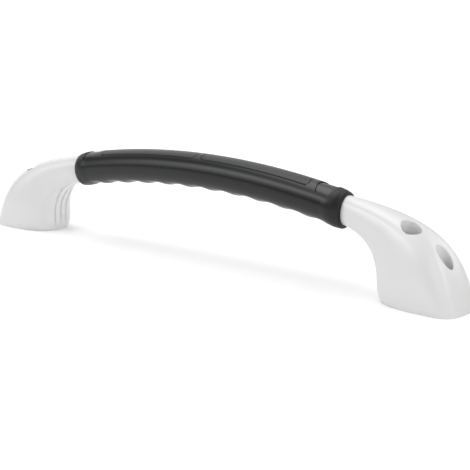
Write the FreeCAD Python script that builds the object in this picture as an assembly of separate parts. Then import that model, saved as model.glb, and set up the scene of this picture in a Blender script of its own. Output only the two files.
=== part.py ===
import FreeCAD, Part
import math
import os

# Entry grab handle for a vehicle door: one white moulding with a foot at each end, and a soft
# black grip moulded round the bar between them. Four screws go down through the feet into the wall.
# Millimetres. X runs along the handle, Z points away from the wall and Z = 0 is the wall face.
# The origin is on the wall, midway between the feet.

# Arched bar
NECK_X = 130.0               # where the neck's section starts to change into the foot's
ARC_RADIUS = 690.0           # radius of the bar's centre line
ARC_TOP = 70.6               # height of the centre line at the middle
BAR_HALF_WIDTH = 8.6         # eight-sided bar inside the grip, a little larger than the neck
BAR_HALF_HEIGHT = 11.2
BAR_FLAT_WIDTH = 4.6         # half widths of its flat sides
BAR_FLAT_HEIGHT = 6.4
BAR_END = 124.7              # along the centre line
NECK_START = 121.0           # the neck starts a little way inside the bar
NECK_HALF_HEIGHT = 10.9
NECK_HALF_WIDTH = 8.0

# Foot, seen from the side: an outer curve and a throat curve, both from the neck to the wall
FOOT_OUTER_X = 232.4
FOOT_INNER_X = 168.0
OUTER_PULL = 15.0            # how far the outer curve runs on along the bar before it turns
OUTER_CROWN = (206.5, 61.8)
OUTER_SHOULDER = (217.0, 44.7)
THROAT_PULL = 45.7
THROAT_KNEE = (164.8, 11.0)

# Section of the foot, from the neck to the wall. A number starts at the first value, ends at the
# last and is drawn towards those between. Roundness 2 is an ellipse, and more is squarer.
HALF_WIDTHS = (8.0, 11.0, 14.5, 26.2, 21.9)
OUTER_ROUNDNESS = (2.0, 3.0, 3.9, 3.6)
THROAT_ROUNDNESS = (2.0, 2.9, 3.9, 2.6)
WIDEST_AT = (0.5, 0.31, 0.46, 0.70)  # as a part of the section's length, from the throat
RING_POINTS = 20
FOOT_RINGS = 9

# Inside of a foot, open to the wall
HOLLOW_X = (174.0, 227.0)    # at the wall
HOLLOW_HALF_WIDTH = 17.4
HOLLOW_THROAT_CORNER = 14.0
HOLLOW_OUTER_CORNER = 9.0
HOLLOW_HEIGHT = 30.0
HOLLOW_OUTER_LEAN = 12.0     # how far the outer end draws in towards the top
HOLLOW_SIDE_LEAN = 3.0
RIB = 2.0
BOSS_WALL = 2.2

# Screw wells: (distance along X, offset along Y, radius at the floor)
SCREWS = ((191.0, -6.0, 5.4), (214.5, -1.5, 5.0))
SCREW_HOLE_R = 2.7
WELL_FLOOR_Z = 12.0
WELL_DRAFT = 2.5             # degrees
WELL_TOP_Z = 90.0

# Grooves down the throat
GROOVE_YS = (-6.2, 0.0, 6.2)
GROOVE_WIDTH = 2.4
GROOVE_DEPTH = 1.3
GROOVE_SPAN = (0.16, 0.90)
GROOVE_STEPS = 8

# Grip
GRIP_R = 13.8
GRIP_END = 124.0             # where the fingers' runs stop, inside the collars
COLLAR_RINGS = ((112.0, 11.6), (118.0, 12.8), (122.0, 13.8), (126.0, 14.35), (130.0, 14.5),
                (132.0, 14.2), (133.6, 13.2), (134.5, 12.0), (134.8, 10.6))  # places and radii
RIDGES = 10                  # waves under the grip, with a hollow for a finger on both sides of each
FINGER_PITCH = 23.6          # along the centre line
FINGER_DEPTH = 1.1
FINGER_TOP_R = 13.7          # reach of the ridges between the fingers, below the centre line
RECESS_X = (114.0, 126.5)    # shallow recess on top, next to each collar
RECESS_HALF_WIDTH = 10.5
RECESS_DEPTH = 0.9

MITRE_SPARE = 5.0            # each straight run starts this much longer than its mitred length
WIDE = 30.0                  # cutting tools reach this far either side of the middle line

ORIGIN = FreeCAD.Vector(0, 0, 0)
ARC_CENTRE = FreeCAD.Vector(0, 0, ARC_TOP - ARC_RADIUS)
X_AXIS = FreeCAD.Vector(1, 0, 0)
Y_AXIS = FreeCAD.Vector(0, 1, 0)
UP = FreeCAD.Vector(0, 0, 1)


def with_mirror_image(shape):
    """The shape and its mirror image at the other end of the handle."""
    return [shape, shape.mirror(ORIGIN, X_AXIS)]


def bezier(points, s):
    """Point of a Bezier curve of any degree."""
    level = [list(point) for point in points]
    while len(level) > 1:
        level = [[a + (b - a) * s for a, b in zip(p, q)] for p, q in zip(level, level[1:])]
    return level[0]


def drawn_towards(values, s):
    """A number that starts at the first value, ends at the last and is drawn towards those between."""
    return bezier([(value,) for value in values], s)[0]


def arc_point(x):
    """Point of the bar's centre line."""
    return ARC_CENTRE + FreeCAD.Vector(x, 0, math.sqrt(ARC_RADIUS ** 2 - x * x))


def arc_direction(x):
    """Unit direction of the centre line, towards +X."""
    return (arc_point(x) - ARC_CENTRE).cross(Y_AXIS).normalize() * -1.0


def along_arc(distance):
    """X of the point that lies so far along the bar's centre line from the middle."""
    return ARC_RADIUS * math.sin(distance / ARC_RADIUS)


def fan(low_x, high_x):
    """Wedge from the arc's centre that holds what lies between two places along the bar."""
    spread = [ARC_CENTRE + (arc_point(x) - ARC_CENTRE) * 1.1 for x in (low_x, high_x)]
    face = Part.Face(Part.makePolygon([ARC_CENTRE] + spread + [ARC_CENTRE]))
    face.translate(Y_AXIS * -WIDE)
    return face.extrude(Y_AXIS * 2 * WIDE)


def straight_run(section, low_x, high_x):
    """One straight run along the bar, mitred to meet the next run. The section is a radius, or corners
    (offset along Y, distance out from the centre line)."""
    run = arc_point(high_x) - arc_point(low_x)
    length = run.Length + 2 * MITRE_SPARE
    run.normalize()
    start = arc_point(low_x) - run * MITRE_SPARE
    if isinstance(section, float):
        solid = Part.makeCylinder(section, length, start, run)
    else:
        out = run.cross(Y_AXIS)
        points = [start + Y_AXIS * y + out * distance for y, distance in section]
        solid = Part.Face(Part.makePolygon(points + points[:1])).extrude(run * length)
    return solid.common(fan(low_x, high_x))


def inner_bar():
    """The eight-sided bar inside the grip, in eight straight runs."""
    corner = [(BAR_HALF_WIDTH, BAR_FLAT_HEIGHT), (BAR_FLAT_WIDTH, BAR_HALF_HEIGHT)]
    upper = corner + [(-y, distance) for y, distance in reversed(corner)]
    section = upper + [(-y, -distance) for y, distance in upper]
    places = [along_arc(BAR_END * k / 4) for k in range(-4, 5)]
    runs = [straight_run(section, low_x, high_x) for low_x, high_x in zip(places, places[1:])]
    return runs[0].multiFuse(runs[1:])


def rounded(theta, roundness):
    """Unit outline point: a circle at roundness 2, squarer as it grows."""
    c, s = math.cos(theta), math.sin(theta)
    size = (abs(c) ** roundness + abs(s) ** roundness) ** (-1.0 / roundness)
    return c * size, s * size


def ring(centre, along, top, bottom, half_width, top_round=2.0, bottom_round=2.0):
    """Closed smooth curve in the plane of along and Y. Along points to the top of the section."""
    points = []
    for k in range(RING_POINTS):
        theta = math.pi / 2 + 2 * math.pi * k / RING_POINTS
        is_top = math.cos(theta) > 0
        c, s = rounded(theta, top_round if is_top else bottom_round)
        reach = c * (top if is_top else bottom)
        points.append(centre + along * reach + Y_AXIS * (half_width * s))
    curve = Part.BSplineCurve()
    parameters = [float(k) for k in range(RING_POINTS + 1)]
    curve.interpolate(Points=points, PeriodicFlag=True, Parameters=parameters)
    return curve


def skin_solid(rings):
    """Closed solid with one smooth skin through all the rings, and a flat face on each end ring."""
    nets = [curve.getPoles() for curve in rings]
    places = [0.0]
    for net, following in zip(nets, nets[1:]):
        steps = [a.distanceToPoint(b) for a, b in zip(net, following)]
        places.append(places[-1] + sum(steps) / len(steps))
    columns = []
    for poles in zip(*nets):
        column = Part.BSplineCurve()
        column.interpolate(Points=list(poles), Parameters=places)
        columns.append(column)
    rows = [list(row) for row in zip(*[column.getPoles() for column in columns])]
    surface = Part.BSplineSurface()
    surface.buildFromPolesMultsKnots(
        rows, columns[0].getMultiplicities(), rings[0].getMultiplicities(),
        columns[0].getKnots(), rings[0].getKnots(), False, True, 3, 3)
    ends = [Part.Face(Part.Wire([curve.toShape()])) for curve in (rings[0], rings[-1])]
    shell = Part.Shell([surface.toShape()] + ends)
    shell.sewShape()
    solid = Part.Solid(shell)
    if solid.Volume < 0:
        solid.reverse()
    return solid


# Foot

def foot_lines(s):
    """Throat point and outer point of the foot's side view, from the neck at 0 to the wall at 1."""
    neck = arc_point(NECK_X)
    run = arc_direction(NECK_X)
    top = (neck.x, neck.z + NECK_HALF_HEIGHT)
    low = (neck.x, neck.z - NECK_HALF_HEIGHT)
    outer = [top, (top[0] + run.x * OUTER_PULL, top[1] + run.z * OUTER_PULL),
             OUTER_CROWN, OUTER_SHOULDER, (FOOT_OUTER_X, 0.0)]
    throat = [low, (low[0] + run.x * THROAT_PULL, low[1] + run.z * THROAT_PULL),
              THROAT_KNEE, (FOOT_INNER_X, 0.0)]
    return bezier(throat, s), bezier(outer, s)


def foot_section(s):
    """Centre, direction, reaches, half width and roundness of the foot's section."""
    throat, outer = foot_lines(s)
    low = FreeCAD.Vector(throat[0], 0, throat[1])
    along = FreeCAD.Vector(outer[0], 0, outer[1]) - low
    length = along.Length
    along.normalize()
    widest = drawn_towards(WIDEST_AT, s)
    centre = low + along * (length * widest)
    return (centre, along, length * (1 - widest), length * widest, drawn_towards(HALF_WIDTHS, s),
            drawn_towards(OUTER_ROUNDNESS, s), drawn_towards(THROAT_ROUNDNESS, s))


def neck_ring(x):
    """Section of the neck where it is still hidden in the bar and the collar."""
    return ring(arc_point(x), UP, NECK_HALF_HEIGHT, NECK_HALF_HEIGHT, NECK_HALF_WIDTH)


def foot_skin():
    """The foot as one solid, from inside the bar's end to the wall."""
    middle = (NECK_START + NECK_X) / 2
    rings = [neck_ring(NECK_START), neck_ring(middle), neck_ring(NECK_X)]
    rings += [ring(*foot_section(k / FOOT_RINGS)) for k in range(1, FOOT_RINGS + 1)]
    return skin_solid(rings)


def hollow_outline(z, step):
    """Eight-sided outline of the hollow. Step is 0 at the wall and 1 at the hollow's top."""
    low_x = HOLLOW_X[0]
    high_x = HOLLOW_X[1] - HOLLOW_OUTER_LEAN * step
    half_width = HOLLOW_HALF_WIDTH - HOLLOW_SIDE_LEAN * step
    half = [(low_x, half_width - HOLLOW_THROAT_CORNER), (low_x + HOLLOW_THROAT_CORNER, half_width),
            (high_x - HOLLOW_OUTER_CORNER, half_width), (high_x, half_width - HOLLOW_OUTER_CORNER)]
    corners = half + [(x, -y) for x, y in reversed(half)]
    return Part.makePolygon([FreeCAD.Vector(x, y, z) for x, y in corners + corners[:1]])


def foot_hollow():
    """The drafted hollow of the foot, open to the wall, less its screw bosses and ribs."""
    hollow = Part.makeLoft([hollow_outline(0, 0), hollow_outline(HOLLOW_HEIGHT, 1)], True, True)
    for x, y, floor_r in SCREWS:
        cross_rib = Part.makeBox(RIB, 2 * WIDE, HOLLOW_HEIGHT, FreeCAD.Vector(x - RIB / 2, -WIDE, 0))
        hollow = hollow.cut(screw_boss(x, y, floor_r)).cut(cross_rib)
    length = HOLLOW_X[1] - HOLLOW_X[0]
    long_rib = Part.makeBox(length, RIB, HOLLOW_HEIGHT, FreeCAD.Vector(HOLLOW_X[0], -RIB / 2, 0))
    return hollow.cut(long_rib)


def drafted_cone(x, y, floor_r):
    """Upright cone over the well's floor, wider towards the top by the moulding draft."""
    depth = WELL_TOP_Z - WELL_FLOOR_Z
    mouth_r = floor_r + depth * math.tan(math.radians(WELL_DRAFT))
    return Part.makeCone(floor_r, mouth_r, depth, FreeCAD.Vector(x, y, WELL_FLOOR_Z))


def screw_boss(x, y, floor_r):
    """What stands round a screw well inside the foot, down to the wall."""
    seat_r = floor_r + BOSS_WALL
    seat = Part.makeCylinder(seat_r, WELL_FLOOR_Z, FreeCAD.Vector(x, y, 0))
    return seat.fuse(drafted_cone(x, y, seat_r))


def screw_well(x, y, floor_r):
    """Screw hole, and the tapered well above it that the screw head goes down."""
    hole = Part.makeCylinder(SCREW_HOLE_R, WELL_TOP_Z, FreeCAD.Vector(x, y, -1))
    return hole.fuse(drafted_cone(x, y, floor_r))


def throat_point(s, y):
    """Point of the throat's surface at a given Y."""
    centre, along, top, bottom, half_width, top_round, bottom_round = foot_section(s)
    ratio = (1 - (abs(y) / half_width) ** bottom_round) ** (1 / bottom_round)
    point = centre - along * (bottom * ratio)
    return FreeCAD.Vector(point.x, y, point.z)


def throat_groove(y):
    """Groove that follows the throat at a constant Y and runs out at both ends."""
    first, last = GROOVE_SPAN
    floor, outside = [], []
    for k in range(GROOVE_STEPS + 1):
        step = k / GROOVE_STEPS
        s = first + (last - first) * step
        along = foot_section(s)[1]
        depth = GROOVE_DEPTH * math.sin(math.pi * step) ** 0.5
        floor.append(throat_point(s, y) + along * depth)
        outside.append(throat_point(s, y) - along * GROOVE_DEPTH)
    line = Part.BSplineCurve()
    line.interpolate(floor)
    sides = Part.makePolygon([floor[-1]] + outside[::-1] + [floor[0]])
    groove = Part.Face(Part.Wire([line.toShape()] + sides.Edges))
    groove.translate(Y_AXIS * (-GROOVE_WIDTH / 2))
    return groove.extrude(Y_AXIS * GROOVE_WIDTH)


def make_foot(skin):
    foot = skin.cut(foot_hollow())
    for x, y, floor_r in SCREWS:
        foot = foot.cut(screw_well(x, y, floor_r))
    for y in GROOVE_YS:
        foot = foot.cut(throat_groove(y))
    return foot


# Grip

def collar():
    """Swollen end of the grip, in upright sections. It starts inside the last finger's run."""
    return skin_solid([ring(arc_point(x), UP, radius, radius, radius) for x, radius in COLLAR_RINGS])


def finger_hollow(low_x, middle_x, high_x):
    """What one finger takes from the underside of the grip: below an arc that dips towards the bar."""
    rows = []
    for x, reach in ((low_x, FINGER_TOP_R), (middle_x, FINGER_TOP_R - FINGER_DEPTH), (high_x, FINGER_TOP_R)):
        centre = arc_point(x)
        rows.append(centre + (ARC_CENTRE - centre).normalize() * reach)
    arc = Part.ArcOfCircle(*rows)
    drop = UP * -WIDE
    spare = (rows[-1] - rows[0]).normalize() * MITRE_SPARE
    sides = Part.makePolygon([rows[-1], rows[-1] + spare + drop, rows[0] - spare + drop, rows[0]])
    below = Part.Face(Part.Wire([arc.toShape()] + sides.Edges))
    below.translate(Y_AXIS * -WIDE)
    return below.extrude(Y_AXIS * 2 * WIDE)


def top_recess():
    """What the shallow recess next to a collar takes from the top of the grip."""
    half_width = RECESS_HALF_WIDTH
    corners = [(-half_width, 0), (half_width, 0), (half_width, WIDE), (-half_width, WIDE)]
    floor = straight_run(GRIP_R - RECESS_DEPTH, RECESS_X[0] - MITRE_SPARE, RECESS_X[1] + MITRE_SPARE)
    return straight_run(corners, *RECESS_X).cut(floor)


def make_grip_sleeve(bar, skins):
    """The grip, one straight run to a finger, with its collars, its recesses and the hole for the bar."""
    fingers = []
    for k in range(RIDGES + 1):
        middle = k - RIDGES / 2
        places = [along_arc(FINGER_PITCH * step) for step in (middle - 0.5, middle, middle + 0.5)]
        run = straight_run(GRIP_R, places[0], places[-1])
        fingers.append(run.cut(finger_hollow(*places)))
    sleeve = fingers[0].multiFuse(fingers[1:]).common(fan(-GRIP_END, GRIP_END))
    sleeve = sleeve.multiFuse(with_mirror_image(collar()))
    for recess in with_mirror_image(top_recess()):
        sleeve = sleeve.cut(recess)
    for inner in [bar] + skins:
        sleeve = sleeve.cut(inner)
    return sleeve


def main():
    os.makedirs("parts", exist_ok=True)
    bar = inner_bar()
    skin = foot_skin()
    body = bar.multiFuse(with_mirror_image(make_foot(skin)))
    parts = {"handle_body": body, "grip_sleeve": make_grip_sleeve(bar, with_mirror_image(skin))}
    for name, shape in parts.items():
        box = shape.BoundBox
        print(name, "valid", shape.isValid(), "solids", len(shape.Solids), "volume", round(shape.Volume),
              "size", [round(length, 1) for length in (box.XLength, box.YLength, box.ZLength)])
        shape.exportStep("parts/" + name + ".step")


main()
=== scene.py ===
import math

import bmesh
import bpy
from mathutils import Matrix, Vector


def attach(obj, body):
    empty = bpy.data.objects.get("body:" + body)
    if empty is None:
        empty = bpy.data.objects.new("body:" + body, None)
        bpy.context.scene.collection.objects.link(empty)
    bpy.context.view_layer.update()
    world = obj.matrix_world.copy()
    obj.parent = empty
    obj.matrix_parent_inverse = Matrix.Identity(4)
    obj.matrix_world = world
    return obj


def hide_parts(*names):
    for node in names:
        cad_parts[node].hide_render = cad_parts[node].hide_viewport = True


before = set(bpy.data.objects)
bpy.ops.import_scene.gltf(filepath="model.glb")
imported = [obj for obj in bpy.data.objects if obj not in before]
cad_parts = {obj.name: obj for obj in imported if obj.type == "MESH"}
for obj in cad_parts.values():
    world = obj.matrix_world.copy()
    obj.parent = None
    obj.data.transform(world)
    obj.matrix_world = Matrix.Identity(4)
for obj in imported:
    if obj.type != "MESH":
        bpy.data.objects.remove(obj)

MM = 0.001
QUARTER = math.pi / 2

# The frame: X along the handle, Z away from the wall, the wall face at Z = 0.
# Sizes are in millimetres, and points are scaled to metres when they are placed.

# Arched bar and grip
ARC_RADIUS = 690.0
ARC_TOP = 70.6               # height of the centre line at the middle
GRIP_R = 13.8
GRIP_TOP_REACH = 13.5
FINGER_PITCH = 23.6          # along the centre line
RIDGE_REACH = 13.95          # the grip's reach underneath, at a ridge and in a finger's hollow
HOLLOW_REACH = 12.7
WAVES_FADE = (0.72, 0.98)    # the waves come in between these, 1 being straight underneath

# Collars: place along X, reach on top, reach underneath and half width
COLLAR_SECTIONS = (
    (112.0, 12.6, 11.4, 12.6),
    (118.0, 13.3, 12.9, 13.2),
    (123.0, 13.7, 14.0, 13.9),
    (127.0, 13.7, 14.4, 13.8),
    (130.0, 13.5, 14.4, 13.2),
    (132.6, 13.1, 14.1, 12.0),
)
END_LEAN = 0.1               # how far the collar's end leans outwards at the top, in radians
ROLL = 1.8                   # length and depth of the rounding at a collar's end
LIP_INNER = (10.3, 7.4)      # half height and half width of the ring inside the neck
INSIDE_NECK = 2              # stands for that ring, after the roll's quarter turn
TURN_FROM = 118.0            # the grip's sections turn upright between here and the roll
GRIP_UNTIL = TURN_FROM + 8   # from here on the collar's own sections give the shape
BLEND = 0.5                  # where grip and collar differ by less, a fillet joins them

# Marks on top of the grip
RECESS_X = (110.8, 123.8)
RECESS_HALF_WIDTH = 10.5
RECESS_DEPTH = (0.75, 0.3)   # at the step and next to the collar
PANEL_X = (2.5, 104.5)
PANEL_HALF_WIDTH = 9.1
PANEL_CORNER_R = 4.0
PANEL_LINE = 0.8
PANEL_LINE_DEPTH = 0.45
PANEL_LEVEL = 0.6            # a panel's line is only looked for above this cosine
LINE_MARGIN = 0.3            # share of the line's width that is still near it
LINE_SNAP = 0.26             # points this close to the line's middle or edge move onto it
END_BOW = 3.2                # how far the ends of panels and recesses curve
BOW_MIDDLE = 0.5             # share of the curve that the middle moves the other way
BOW_WIDEST = 1.15            # beyond this share of a recess's half width the curve stops
BOW_RISE = (96.0, PANEL_X[1])
BOW_FALL = (RECESS_X[0] + 1, RECESS_X[1] - 2)
SOFT_EDGE = 0.16             # half width of a recess's edges

# Rows and steps of the grip's mesh
WIDE_SPACING = 1.2           # along a panel
FINE_SPACING = 0.3           # within FINE_REACH of a panel's ends and corners
FINE_REACH = 6.0
COLLAR_SPACING = 0.5         # beside the recess
RECESS_SPACING = 0.7
SIDE_SPACING = 0.34          # across the top
EDGE_GAP = 0.5               # from an edge to the next rows
STEP_GAP = 0.3               # the same, in front of the recess
STEPS_UNDERNEATH = 44        # from the edge of a recess to straight underneath
ROLL_STEPS = 6

# Meshes
SHARP_ANGLE = 35.0
SEAM_GAP = 1e-7              # in metres, as the next two
TRIANGLE_GAP = 1e-6
NO_LENGTH = 1e-5
EASED_EDGE = 0.35            # bevel on the white moulding's sharp edges
EASED_SEGMENTS = 2
EASED_FROM_ANGLE = 40

# White moulding's finish. Scales of noise are per metre.
WHITE_SHADES = ((0.70, 0.70, 0.698, 1), (0.72, 0.72, 0.718, 1))
WHITE_PATCHES = 22.0
WHITE_GRAIN = 2600.0
WHITE_RIPPLE = 260.0
WHITE_ROUGHNESS = 0.22
WHITE_PATCH_ROUGHNESS = 0.05
WHITE_GRAIN_ROUGHNESS = 0.04
WHITE_REFLECTION = 0.5
RIPPLE_HEIGHT = 2.0          # of the grain's height
WHITE_BUMP = (0.12, 0.03 * MM)

# Grip's finish
GRIP_SHADES = ((0.0045, 0.0049, 0.0051, 1), (0.0065, 0.0069, 0.0071, 1))
GRIP_PATCHES = 30.0
GRIP_GRAIN = 3200.0
GRIP_PITS = 1900.0
GRIP_ROUGHNESS = 0.24
GRIP_PATCH_ROUGHNESS = 0.04
GRIP_GRAIN_ROUGHNESS = 0.04
RECESS_SHINE = 0.12          # taken off the roughness
PANEL_DULL = 0.08            # added to it
COLLAR_DULL = 0.2
GRIP_REFLECTION = 0.37
PANEL_GRAIN = 1.2            # extra height of the grain on a panel
GRIP_BUMP = (0.25, 0.05 * MM)
MARK_BLUR = 0.6 * MM         # half width of the edges between finishes
STEP_BLUR = 0.4 * MM         # the same, at a recess's step
LEVEL_BLUR = 1.0 * MM        # the same, halfway up the grip
RECESS_LEVEL = 0.64          # a recess's shine starts at this share of the grip's reach
COLLAR_FINISH_X = 125.0 * MM
COLLAR_FINISH_BLUR = 4.0 * MM

# Floor's finish
FLOOR_HALF_SIZE = 6.0        # in metres
FLOOR_SHADES = ((0.91, 0.91, 0.91, 1), (0.92, 0.92, 0.92, 1))
FLOOR_PATCHES = 3.0
FLOOR_ROUGHNESS = 0.9
FLOOR_REFLECTION = 0.2
FLOOR_GLOW = 0.1
WHITE_LIGHT = (1, 1, 1, 1)

# Camera, found by lining the part's edges up with the photograph
IMAGE = 470
SENSOR = 36.0
CAMERA_AZIMUTH = 41.39
CAMERA_ELEVATION = 12.16
CAMERA_ROLL = 0.66
CAMERA_DISTANCE = 0.96193
CAMERA_TARGET = (0.0, 0.0, 0.040)
FOCAL_PIXELS = 1236.37
CENTRE_PIXEL = (204.1, 209.48)
NEAR_CLIP = 0.05

# Studio light. Each panel has its turn round the handle in degrees (0 behind, 90 overhead,
# 180 in front) and its half width, then its place along X, from -1 at the far end to 1 at
# the near end, and its half width there, and last its strength.
PALE_BACKDROP = 1.0
PANEL_BLUR = 6.0             # in degrees
PANEL_X_BLUR = 0.1
SOFT_PANELS = (
    # Behind, low
    (24, 12, -0.75, 0.25, 1.4),
    (24, 12, -0.25, 0.25, 0.5),
    (24, 12, 0.25, 0.25, 2.0),
    (24, 12, 0.75, 0.25, 0.5),
    # Behind, high; the second gives the streak on the near shoulder
    (48, 12, -0.5, 0.5, 1.0),
    (48, 12, 0.75, 0.25, 3.4),
    (72, 12, -0.75, 0.25, 1.4),
    (72, 12, -0.25, 0.25, 3.0),
    # Overhead
    (96, 12, -0.75, 0.25, 0.5),
    (96, 13, -0.25, 0.28, 3.8),
    (96, 12, 0.75, 0.25, 1.7),
    # In front; the two at 142 give the streak along the grip
    (120, 12, -0.75, 0.25, 0.2),
    (120, 12, -0.25, 0.25, 1.5),
    (131, 22, 0.75, 0.25, 1.5),
    (142, 10, -0.64, 0.12, 3.4),
    (142, 9, -0.38, 0.2, 4.2),
    (160, 8, -0.66, 0.14, 2.4),
    (174, 6, 0.75, 0.25, 2.8),
)

# Sockets of the Mix node that have no name of their own
MIX_FACTOR, MIX_LOW, MIX_HIGH, MIX_RESULT = 0, 6, 7, 2

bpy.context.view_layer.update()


# Finishes

class Wire:
    """An output of a shader node. Plain arithmetic on wires adds the Math nodes for it."""

    def __init__(self, tree, socket=None):
        self.tree = tree
        self.socket = socket

    def node(self, kind, settings=None, inputs=None, output=0):
        """Any other node: its type, its settings, then the values or wires of its sockets."""
        made = self.tree.nodes.new(kind)
        for name, value in (settings or {}).items():
            setattr(made, name, value)
        for name, value in (inputs or {}).items():
            if isinstance(value, Wire):
                self.tree.links.new(value.socket, made.inputs[name])
            else:
                made.inputs[name].default_value = value
        return Wire(self.tree, made.outputs[output])

    def maths(self, operation, first, second=0.0):
        return self.node("ShaderNodeMath", {"operation": operation}, {0: first, 1: second})

    def __add__(self, other):
        return self.maths("ADD", self, other)

    def __radd__(self, other):
        return self.maths("ADD", other, self)

    def __sub__(self, other):
        return self.maths("SUBTRACT", self, other)

    def __rsub__(self, other):
        return self.maths("SUBTRACT", other, self)

    def __mul__(self, other):
        return self.maths("MULTIPLY", self, other)

    def __truediv__(self, other):
        return self.maths("DIVIDE", self, other)

    def __abs__(self):
        return self.maths("ABSOLUTE", self)


def new_finish(name):
    """A material with no nodes yet, and a wire to start from."""
    material = bpy.data.materials.new(name)
    material.use_nodes = True
    material.node_tree.nodes.clear()
    return material, Wire(material.node_tree)


def finish_with(material, start, settings):
    """Ends the material in one Principled shader."""
    shader = start.node("ShaderNodeBsdfPrincipled", {}, settings)
    end = material.node_tree.nodes.new("ShaderNodeOutputMaterial")
    material.node_tree.links.new(shader.socket, end.inputs["Surface"])
    return material


def object_place(start):
    return start.node("ShaderNodeTexCoord", output="Object")


def parts_of(start, vector):
    """X, Y and Z of a vector."""
    return [start.node("ShaderNodeSeparateXYZ", {}, {0: vector}, output=k) for k in range(3)]


def noise(start, place, scale, detail=2.0, roughness=0.5):
    return start.node("ShaderNodeTexNoise", {}, {
        "Vector": place, "Scale": scale, "Detail": detail, "Roughness": roughness})


def bump(start, height, strength, distance):
    return start.node("ShaderNodeBump", {}, {
        "Height": height, "Strength": strength, "Distance": distance})


def step_up(start, value, edge, blur):
    """0 below the edge and 1 above it."""
    return start.node("ShaderNodeMapRange", {"interpolation_type": "SMOOTHSTEP"}, {
        "Value": value, "From Min": edge - blur, "From Max": edge + blur})


def step_down(start, value, edge, blur):
    """1 below the edge and 0 above it."""
    return step_up(start, value, edge, -blur)


def tint(start, factor, low, high):
    """A colour between two, by a value from 0 to 1."""
    return start.node("ShaderNodeMix", {"data_type": "RGBA"}, {
        MIX_FACTOR: factor, MIX_LOW: low, MIX_HIGH: high}, output=MIX_RESULT)


def white_moulding():
    """Satin white plastic with a fine grain."""
    material, start = new_finish("white_moulding")
    place = object_place(start)
    patches = noise(start, place, WHITE_PATCHES)
    grain = noise(start, place, WHITE_GRAIN, detail=3.0)
    ripple = noise(start, place, WHITE_RIPPLE, detail=1.0)
    return finish_with(material, start, {
        "Base Color": tint(start, patches, *WHITE_SHADES),
        "Roughness": (WHITE_ROUGHNESS + patches * WHITE_PATCH_ROUGHNESS
                      + grain * WHITE_GRAIN_ROUGHNESS),
        "Specular IOR Level": WHITE_REFLECTION,
        "Normal": bump(start, grain + ripple * RIPPLE_HEIGHT, *WHITE_BUMP),
    })


def soft_grip():
    """Satin black rubber, shinier in the recesses and duller on the panels and collars."""
    material, start = new_finish("soft_grip")
    place = object_place(start)
    x, y, height = parts_of(start, place)
    far, side = abs(x), abs(y)

    above = height + far * far / (2 * ARC_RADIUS * MM) - ARC_TOP * MM
    panel = (step_up(start, far, PANEL_X[0] * MM, MARK_BLUR)
             * (1 - step_up(start, far, PANEL_X[1] * MM, MARK_BLUR))
             * (1 - step_up(start, side, PANEL_HALF_WIDTH * MM, MARK_BLUR))
             * step_up(start, above, 0.0, LEVEL_BLUR))

    # Both ends of a recess stand square on the bar, which slopes there
    slope = RECESS_X[0] / ARC_RADIUS
    ends = [(end - arc_height(end) * slope) * MM for end in RECESS_X]
    level = arc_height(RECESS_X[0]) + GRIP_TOP_REACH * RECESS_LEVEL + RECESS_X[0] * slope
    bowed = far - (side * side / (RECESS_HALF_WIDTH * MM) ** 2 - BOW_MIDDLE) * END_BOW * MM
    recess = (step_up(start, bowed - height * slope, ends[0], STEP_BLUR)
              * (1 - step_up(start, far - height * slope, ends[1], MARK_BLUR))
              * step_up(start, height + far * slope, level * MM, MARK_BLUR))

    collar = step_up(start, far, COLLAR_FINISH_X, COLLAR_FINISH_BLUR)
    patches = noise(start, place, GRIP_PATCHES)
    grain = noise(start, place, GRIP_GRAIN, detail=4.0, roughness=0.65)
    pits = start.node("ShaderNodeTexVoronoi", {}, {"Vector": place, "Scale": GRIP_PITS})
    return finish_with(material, start, {
        "Base Color": tint(start, patches, *GRIP_SHADES),
        "Roughness": (GRIP_ROUGHNESS + patches * GRIP_PATCH_ROUGHNESS
                      + grain * GRIP_GRAIN_ROUGHNESS - recess * RECESS_SHINE
                      + panel * PANEL_DULL + collar * COLLAR_DULL),
        "Specular IOR Level": GRIP_REFLECTION,
        "Normal": bump(start, (grain + pits) * (1 + panel * PANEL_GRAIN), *GRIP_BUMP),
    })


# Shapes

def arc_height(x):
    """Height of the bar's centre line."""
    return ARC_TOP - ARC_RADIUS + math.sqrt(ARC_RADIUS ** 2 - x * x)


def closed_skin(name, rows, around, point):
    """A grid wrapped into a tube. Its vertices go where point says, and its seam is joined."""
    mesh = bmesh.new()
    bmesh.ops.create_grid(mesh, x_segments=rows, y_segments=around, size=1.0)
    for vertex in mesh.verts:
        row = round((vertex.co.x + 1) / 2 * rows)
        step = round((vertex.co.y + 1) / 2 * around)
        vertex.co = point(row, step % around) * MM
    bmesh.ops.remove_doubles(mesh, verts=mesh.verts, dist=SEAM_GAP)
    bmesh.ops.recalc_face_normals(mesh, faces=mesh.faces)
    return finish_mesh(name, mesh)


def finish_mesh(name, mesh):
    """An object of the mesh, smooth but for its sharp edges."""
    data = bpy.data.meshes.new(name)
    mesh.to_mesh(data)
    mesh.free()
    data.shade_smooth()
    data.set_sharp_from_angle(angle=math.radians(SHARP_ANGLE))
    piece = bpy.data.objects.new(name, data)
    bpy.context.scene.collection.objects.link(piece)
    return piece


def ramp(low, high, value):
    """0 up to low and 1 from high on, with a straight rise between them."""
    return min(max((value - low) / (high - low), 0.0), 1.0)


def smooth_step(low, high, value):
    """The same, with an eased start and end."""
    t = ramp(low, high, value)
    return t * t * (3 - 2 * t)


def past_edge(edge, value):
    """0 before an edge of the recess and 1 past it."""
    return ramp(edge - SOFT_EDGE, edge + SOFT_EDGE, value)


def softer_max(a, b):
    """The larger of two sizes, with a small fillet where they meet."""
    overlap = max(BLEND - abs(a - b), 0.0) / BLEND
    return max(a, b) + overlap * overlap * BLEND / 4


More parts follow.
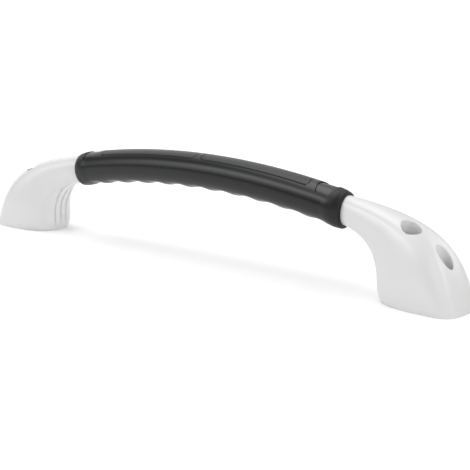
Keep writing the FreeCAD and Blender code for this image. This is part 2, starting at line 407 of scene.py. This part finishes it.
def oval(top, low, half_width, theta):
    """Distance of an oval's outline from its centre. Theta is 0 on top and pi underneath."""
    reach = top if math.cos(theta) > 0 else low
    return 1 / math.hypot(math.cos(theta) / reach, math.sin(theta) / half_width)


def collar_section(far):
    """Reach on top, reach underneath and half width of the collar.

    A cubic through the sections above gives them, with the slope at each section that its
    two neighbours have between them.
    """
    places = [section[0] for section in COLLAR_SECTIONS]
    k = max(i for i in range(len(places) - 1) if places[i] <= max(far, places[0]))
    t = (far - places[k]) / (places[k + 1] - places[k])
    rows = [COLLAR_SECTIONS[min(max(k + step, 0), len(places) - 1)][1:]
            for step in (-1, 0, 1, 2)]
    return [0.5 * (2 * b + (c - a) * t + (2 * a - 5 * b + 4 * c - d) * t * t
                   + (3 * b - 3 * c + d - a) * t ** 3) for a, b, c, d in zip(*rows)]


def finger_section(distance, theta):
    """The grip's outline between the collars: round, with waves underneath."""
    wave = 0.5 + 0.5 * math.cos(2 * math.pi * distance / FINGER_PITCH)
    under = smooth_step(*WAVES_FADE, -math.cos(theta))
    reach = RIDGE_REACH + (HOLLOW_REACH - RIDGE_REACH) * wave
    return oval(GRIP_TOP_REACH, GRIP_R, GRIP_R, theta) + (reach - GRIP_R) * under


def panel_line(far, side):
    """Depth of the thin line round a panel, and where the point goes.

    In the corners a point near the line moves onto its middle or its edge, so that the
    line stays even.
    """
    middle = (PANEL_X[0] + PANEL_X[1]) / 2
    reach = (PANEL_X[1] - PANEL_X[0]) / 2 - PANEL_CORNER_R
    dx = max(abs(far - middle) - reach, 0.0)
    dy = max(abs(side) - (PANEL_HALF_WIDTH - PANEL_CORNER_R), 0.0)
    off = math.hypot(dx, dy)
    inside = (PANEL_CORNER_R - off) / PANEL_LINE
    if not -LINE_MARGIN < inside < 1 + LINE_MARGIN:
        return 0.0, far, side
    if dx > 0 and dy > 0:
        snapped = min(max(round(inside * 2) / 2, 0.0), 1.0)
        shift = (inside - snapped) * PANEL_LINE / off
        if abs(inside - snapped) < LINE_SNAP:
            inside = snapped
            far += math.copysign(dx * shift, far - middle)
            side += math.copysign(dy * shift, side)
    return PANEL_LINE_DEPTH * max(1 - abs(inside * 2 - 1), 0.0), far, side


def recessed(radius, far, side):
    """The radius on top of the grip, lowered inside a recess."""
    open_ends = past_edge(RECESS_X[0], far) * (1 - past_edge(RECESS_X[1], far))
    open_sides = 1 - past_edge(RECESS_HALF_WIDTH, side)
    depth = RECESS_DEPTH[0] + (RECESS_DEPTH[1] - RECESS_DEPTH[0]) * ramp(*RECESS_X, far)
    return radius + (GRIP_TOP_REACH - depth - radius) * open_ends * open_sides


def end_bow(far, side):
    """How far a point on top moves along, which curves the ends of panels and recesses."""
    share = smooth_step(*BOW_RISE, far) * (1 - smooth_step(*BOW_FALL, far))
    return END_BOW * (min(side / RECESS_HALF_WIDTH, BOW_WIDEST) ** 2 - BOW_MIDDLE) * share


def grip_point(x, theta):
    """Point of the grip's surface. Theta is 0 on top and pi underneath."""
    far = abs(x)
    across, up = math.sin(theta), math.cos(theta)
    groove = 0.0
    if up > PANEL_LEVEL and far < RECESS_X[0]:
        groove, far, side = panel_line(far, GRIP_R * across)
        across = side / GRIP_R
        up = math.sqrt(1 - across * across)
        theta = math.atan2(across, up)
    slope = math.asin(far / ARC_RADIUS)
    lean = slope + (END_LEAN - slope) * smooth_step(TURN_FROM, COLLAR_SECTIONS[-1][0], far)
    radius = finger_section(slope * ARC_RADIUS, theta)
    if far > COLLAR_SECTIONS[0][0]:
        # An upright section cuts the sloping bar a little longer
        radius /= math.sqrt(1 - (up * math.sin(slope - lean)) ** 2)
        collar = oval(*collar_section(far), theta)
        radius = softer_max(radius, collar) if far < GRIP_UNTIL else collar
    side = abs(GRIP_R * across)
    if up > 0:
        radius = recessed(radius, far, side)
    radius -= groove
    if up > 0:
        far += end_bow(far, side)
    return Vector((math.copysign(far + radius * up * math.sin(lean), x), radius * across,
                   arc_height(far) + radius * up * math.cos(lean)))


def lip_point(x, turn, theta):
    """Point of a collar's rounded end. Turn runs from 0 to a quarter turn, or is INSIDE_NECK."""
    rolled = min(turn, QUARTER)
    top, low, half_width = (reach - ROLL * (1 - math.cos(rolled))
                            for reach in COLLAR_SECTIONS[-1][1:])
    if turn == INSIDE_NECK:
        top, half_width = LIP_INNER
        low = top
    radius = oval(top, low, half_width, theta)
    far = abs(x) + ROLL * math.sin(rolled)
    height = radius * math.cos(theta)
    return Vector((math.copysign(far + height * math.sin(END_LEAN), x), radius * math.sin(theta),
                   arc_height(far) + height * math.cos(END_LEAN)))


def places_between(edges, step, fine=None, reach=0.0):
    """Places from the first edge to the last, a step apart, and closer together near edges."""
    fine = fine or step
    places = []
    for low, high in zip(edges, edges[1:]):
        here = low
        while here < high - fine * 0.5:
            places.append(here)
            near = min(here - low, high - here)
            here += fine if near < reach else step
    return places + [edges[-1]]


def grip_rows():
    """Place along X and turn of the roll, for every row of the grip from end to end."""
    roll_from = COLLAR_SECTIONS[-1][0]
    half = places_between((0.0, PANEL_X[0], PANEL_X[0] + PANEL_CORNER_R,
                           PANEL_X[1] - PANEL_CORNER_R, PANEL_X[1]),
                          WIDE_SPACING, FINE_SPACING, FINE_REACH)
    half += places_between((PANEL_X[1] + EDGE_GAP, RECESS_X[0] - STEP_GAP), COLLAR_SPACING)
    for edge in RECESS_X:
        half += [edge - SOFT_EDGE, edge - SOFT_EDGE / 3, edge + SOFT_EDGE / 3, edge + SOFT_EDGE]
    half += places_between((RECESS_X[0] + EDGE_GAP, RECESS_X[1] - EDGE_GAP), RECESS_SPACING)
    half += places_between((RECESS_X[1] + EDGE_GAP, roll_from), COLLAR_SPACING)
    xs = sorted({round(x, 4) for x in half})
    xs = [-x for x in reversed(xs[1:])] + xs
    turns = [QUARTER * k / ROLL_STEPS for k in range(1, ROLL_STEPS + 1)] + [INSIDE_NECK]
    rows = [(-roll_from, turn) for turn in reversed(turns)] + [(x, 0) for x in xs]
    return rows + [(roll_from, turn) for turn in turns]


def grip_thetas():
    """Angles round the grip, from the top round to the top, with some on every line and edge."""
    line_edges = [PANEL_HALF_WIDTH - PANEL_LINE * part for part in (1, 0.5, 0)]
    sides = places_between((0.0, line_edges[0]), SIDE_SPACING) + line_edges[1:]
    sides += [RECESS_HALF_WIDTH + SOFT_EDGE * part for part in (-3, -1, -1 / 3, 1 / 3, 1, 3)]
    half = [math.asin(side / GRIP_R) for side in sides]
    last = half[-1]
    half += [last + (math.pi - last) * k / STEPS_UNDERNEATH
             for k in range(1, STEPS_UNDERNEATH + 1)]
    return half + [2 * math.pi - theta for theta in reversed(half[1:-1])]


def make_grip():
    rows, thetas = grip_rows(), grip_thetas()

    def point(row, step):
        x, turn = rows[row]
        return lip_point(x, turn, thetas[step]) if turn else grip_point(x, thetas[step])

    return closed_skin("soft_finger_grip", len(rows) - 1, len(thetas), point)


def merged_copy(node, name):
    """A copy of a solid of the frame with its loose triangles joined and its sharp edges eased."""
    mesh = bmesh.new()
    mesh.from_mesh(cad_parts[node].data)
    bmesh.ops.remove_doubles(mesh, verts=mesh.verts, dist=TRIANGLE_GAP)
    bmesh.ops.dissolve_degenerate(mesh, edges=mesh.edges, dist=NO_LENGTH)
    piece = finish_mesh(name, mesh)
    eased = piece.modifiers.new("eased_edges", "BEVEL")
    eased.width = EASED_EDGE * MM
    eased.segments = EASED_SEGMENTS
    eased.limit_method = "ANGLE"
    eased.angle_limit = math.radians(EASED_FROM_ANGLE)
    eased.harden_normals = True
    return piece


white = white_moulding()
rubber = soft_grip()

body = merged_copy("handle_body", "moulded_handle")
body.data.materials.clear()
body.data.materials.append(white)
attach(body, "root")
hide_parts("handle_body")

grip = make_grip()
grip.data.materials.append(rubber)
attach(grip, "root")
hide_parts("grip_sleeve")


# Studio

def make_floor():
    """A white floor that glows a little, so that it stays white under the handle."""
    mesh = bmesh.new()
    bmesh.ops.create_grid(mesh, x_segments=1, y_segments=1, size=FLOOR_HALF_SIZE)
    floor = finish_mesh("studio_floor", mesh)
    material, start = new_finish("studio_floor")
    patches = noise(start, object_place(start), FLOOR_PATCHES)
    floor.data.materials.append(finish_with(material, start, {
        "Base Color": tint(start, patches, *FLOOR_SHADES),
        "Roughness": FLOOR_ROUGHNESS,
        "Specular IOR Level": FLOOR_REFLECTION,
        "Emission Color": WHITE_LIGHT,
        "Emission Strength": FLOOR_GLOW,
    }))


def make_camera():
    azimuth, elevation = math.radians(CAMERA_AZIMUTH), math.radians(CAMERA_ELEVATION)
    back = Vector((math.sin(azimuth) * math.cos(elevation),
                   -math.cos(azimuth) * math.cos(elevation), math.sin(elevation)))
    data = bpy.data.cameras.new("camera")
    data.sensor_width = SENSOR
    data.lens = FOCAL_PIXELS / IMAGE * SENSOR
    data.shift_x = (IMAGE / 2 - CENTRE_PIXEL[0]) / IMAGE
    data.shift_y = (CENTRE_PIXEL[1] - IMAGE / 2) / IMAGE
    data.clip_start = NEAR_CLIP
    camera = bpy.data.objects.new("camera", data)
    bpy.context.scene.collection.objects.link(camera)
    camera.location = Vector(CAMERA_TARGET) + back * CAMERA_DISTANCE
    look = back.to_track_quat("Z", "Y").to_matrix()
    turn = Matrix.Rotation(math.radians(-CAMERA_ROLL), 3, "Z")
    camera.rotation_euler = (look @ turn).to_euler()
    bpy.context.scene.camera = camera


def make_world():
    """Soft pale panels that light the handle. The camera itself sees a plain pale backdrop."""
    world = bpy.data.worlds.new("studio")
    bpy.context.scene.world = world
    world.use_nodes = True
    world.node_tree.nodes.clear()
    start = Wire(world.node_tree)
    x, y, z = parts_of(start, start.node("ShaderNodeTexCoord"))
    turn = z.maths("ARCTAN2", z, y) * math.degrees(1)
    glow = 0.0
    for middle, half, along, half_along, strength in SOFT_PANELS:
        rise = step_down(start, abs(turn - middle), half, PANEL_BLUR)
        run = step_down(start, abs(x - along), half_along, PANEL_X_BLUR)
        glow = glow + rise * run * strength
    looked_at = start.node("ShaderNodeLightPath", output="Is Camera Ray")
    sky = start.node("ShaderNodeBackground", {}, {
        "Color": WHITE_LIGHT, "Strength": glow * (1 - looked_at) + looked_at * PALE_BACKDROP})
    end = world.node_tree.nodes.new("ShaderNodeOutputWorld")
    world.node_tree.links.new(sky.socket, end.inputs["Surface"])


make_floor()
make_world()
make_camera()

view_settings = bpy.context.scene.view_settings
view_settings.view_transform = "Standard"
